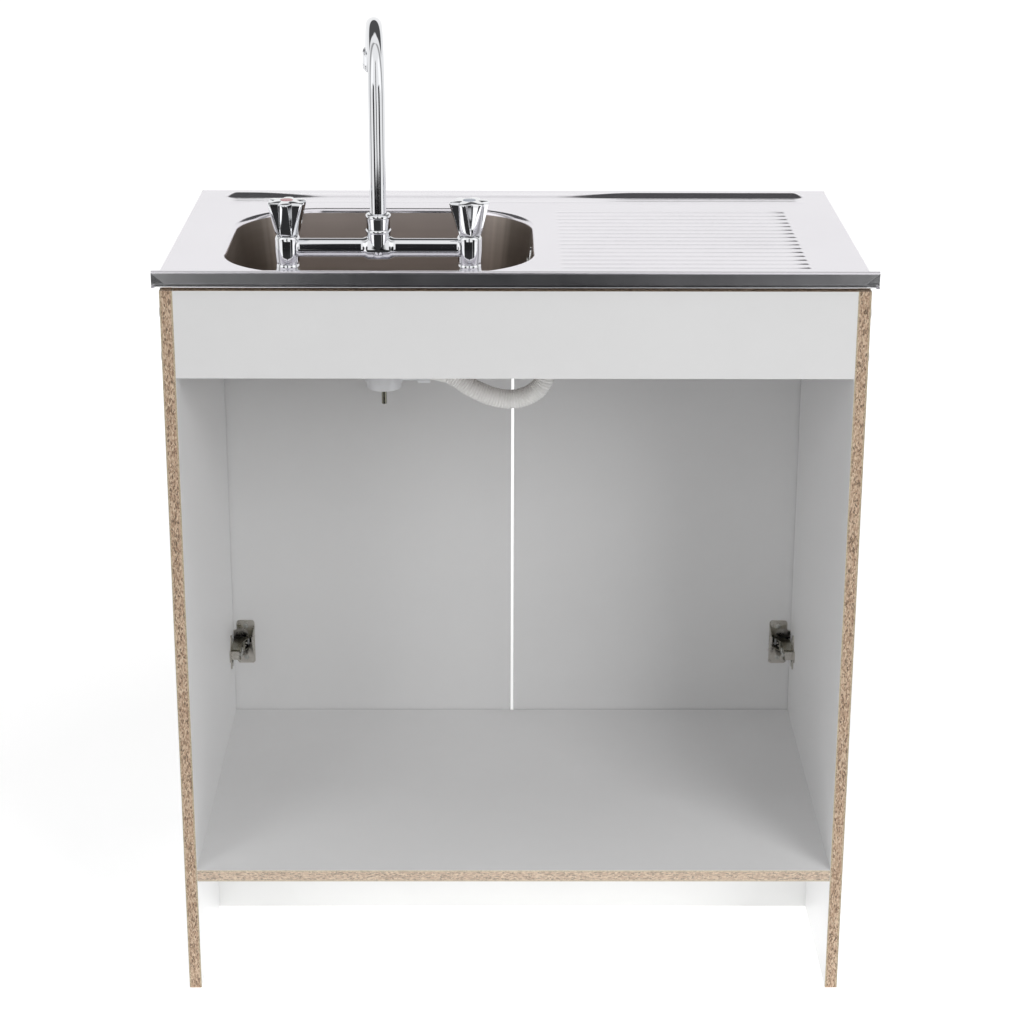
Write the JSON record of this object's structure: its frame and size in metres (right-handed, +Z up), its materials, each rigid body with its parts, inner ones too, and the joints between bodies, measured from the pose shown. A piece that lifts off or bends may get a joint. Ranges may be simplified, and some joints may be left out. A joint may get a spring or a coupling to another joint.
{
  "type": "kitchen sink unit",
  "caption": "Free-standing cabinet with double doors, an inset steel sink top with bowl and ribbed drainer, a bridge tap with swan-neck spout, waste and overflow hose.",
  "frame": {"origin": "under the middle of the whole unit at floor level", "axes": "+Z up; -Y towards the doors; +Y towards the open back and the wall; +X towards the bowl's side, the viewer's right when facing the doors"},
  "size_m": [0.8, 0.525, 1.151],
  "materials": {
    "melamine_board": "satin white melamine on chipboard, raw chipboard at the rear edges",
    "door_board": "satin white melamine on chipboard",
    "sink_steel": "polished deck, brushed bowl",
    "strainer_steel": "polished",
    "chrome": "bright chrome plate",
    "satin_steel": "satin nickel",
    "hinge_steel": "nickel-plated pressed steel",
    "pin_steel": "bright steel",
    "screw_steel": "zinc-plated",
    "cap_plastic": "moulded white",
    "waste_plastic": "moulded white, satin",
    "hose_plastic": "translucent white, ribbed",
    "rubber_seal": "matte black",
    "brass_fitting": "turned",
    "washer_plastic": "moulded",
    "ceramic": "ground ceramic",
    "red_index": "moulded, slightly faded",
    "blue_index": "moulded, greyish blue"
  },
  "bodies": {
    "cabinet": {"side_panel_left": "melamine_board", "side_panel_right": "melamine_board", "base_shelf": "melamine_board", "rear_rail": "melamine_board", "front_rail": "melamine_board", "plinth_board": "melamine_board", "sink_deck": "sink_steel", "sink_bowl": "sink_steel", "waste_strainer": "strainer_steel", "overflow_face": "strainer_steel", "tap_body": "chrome", "valve_bonnets": "chrome", "spout_nut": "chrome", "hinge_plates": "hinge_steel", "hinge_arms": "hinge_steel", "hinge_arm_pins": "pin_steel", "carcass_screws": "screw_steel", "hinge_plate_screws": "screw_steel", "hinge_arm_screws": "screw_steel", "waste_bolt": "screw_steel", "overflow_screw": "screw_steel", "screw_caps": "cap_plastic", "waste_body": "waste_plastic", "port_nut": "waste_plastic", "overflow_elbow": "waste_plastic", "overflow_hose": "hose_plastic", "waste_top_seal": "rubber_seal", "waste_lower_seal": "rubber_seal", "overflow_seal": "rubber_seal", "tap_base_seals": "rubber_seal", "tap_backnuts": "brass_fitting", "tap_washers": "washer_plastic", "valve_discs": "ceramic"},
    "hinge_links_left": {"hinge_outer_links_left": "hinge_steel"},
    "inner_links_left": {"hinge_inner_links_left": "hinge_steel"},
    "door_left": {"door_left": "door_board", "door_handle_left": "satin_steel", "handle_screws_left": "screw_steel", "hinge_cups_left": "hinge_steel", "hinge_cup_pins_left": "pin_steel", "hinge_cup_screws_left": "screw_steel"},
    "hinge_links_right": {"hinge_outer_links_right": "hinge_steel"},
    "inner_links_right": {"hinge_inner_links_right": "hinge_steel"},
    "door_right": {"door_right": "door_board", "door_handle_right": "satin_steel", "handle_screws_right": "screw_steel", "hinge_cups_right": "hinge_steel", "hinge_cup_pins_right": "pin_steel", "hinge_cup_screws_right": "screw_steel"},
    "spout": {"spout": "chrome", "aerator": "chrome", "aerator_insert": "strainer_steel", "spout_seal": "rubber_seal"},
    "handle_hot": {"tap_handle_hot": "chrome", "valve_spindle_hot": "brass_fitting", "index_cap_hot": "red_index"},
    "handle_cold": {"tap_handle_cold": "chrome", "valve_spindle_cold": "brass_fitting", "index_cap_cold": "blue_index"}
  },
  "joints": [
    {"name": "hinge_link_left", "type": "hinge", "parent": "cabinet", "child": "hinge_links_left", "pos_m": [-0.3579, -0.2203, 0.5], "axis": [0, 0, -1], "range_deg": [-30.45, 0]},
    {"name": "inner_link_left", "type": "hinge", "parent": "cabinet", "child": "inner_links_left", "pos_m": [-0.3575, -0.2262, 0.5], "axis": [0, 0, -1], "range_deg": [-12.4, 0]},
    {"name": "door_left", "type": "hinge", "parent": "hinge_links_left", "child": "door_left", "pos_m": [-0.3807, -0.2218, 0.5], "axis": [0, 0, -1], "range_deg": [0, 125.4]},
    {"name": "hinge_link_right", "type": "hinge", "parent": "cabinet", "child": "hinge_links_right", "pos_m": [0.3579, -0.2203, 0.5], "axis": [0, 0, 1], "range_deg": [-30.45, 0]},
    {"name": "inner_link_right", "type": "hinge", "parent": "cabinet", "child": "inner_links_right", "pos_m": [0.3575, -0.2262, 0.5], "axis": [0, 0, 1], "range_deg": [-12.4, 0]},
    {"name": "door_right", "type": "hinge", "parent": "hinge_links_right", "child": "door_right", "pos_m": [0.3807, -0.2218, 0.5], "axis": [0, 0, 1], "range_deg": [0, 125.4]},
    {"name": "spout_swivel", "type": "hinge", "parent": "cabinet", "child": "spout", "pos_m": [0.1515, 0.2255, 0.93], "axis": [0, 0, 1], "continuous": true},
    {"name": "hot_valve", "type": "hinge", "parent": "cabinet", "child": "handle_hot", "pos_m": [0.252, 0.2255, 0.93], "axis": [0, 0, 1], "range_deg": [0, 90]},
    {"name": "cold_valve", "type": "hinge", "parent": "cabinet", "child": "handle_cold", "pos_m": [0.051, 0.2255, 0.93], "axis": [0, 0, 1], "range_deg": [0, 90]}
  ],
  "couplings": [
    {"joint": "hinge_link_left", "follows": "door_left", "ratio": -0.24242},
    {"joint": "inner_link_left", "follows": "door_left", "ratio": -0.098485},
    {"joint": "hinge_link_right", "follows": "door_right", "ratio": -0.24242},
    {"joint": "inner_link_right", "follows": "door_right", "ratio": -0.098485}
  ]
}
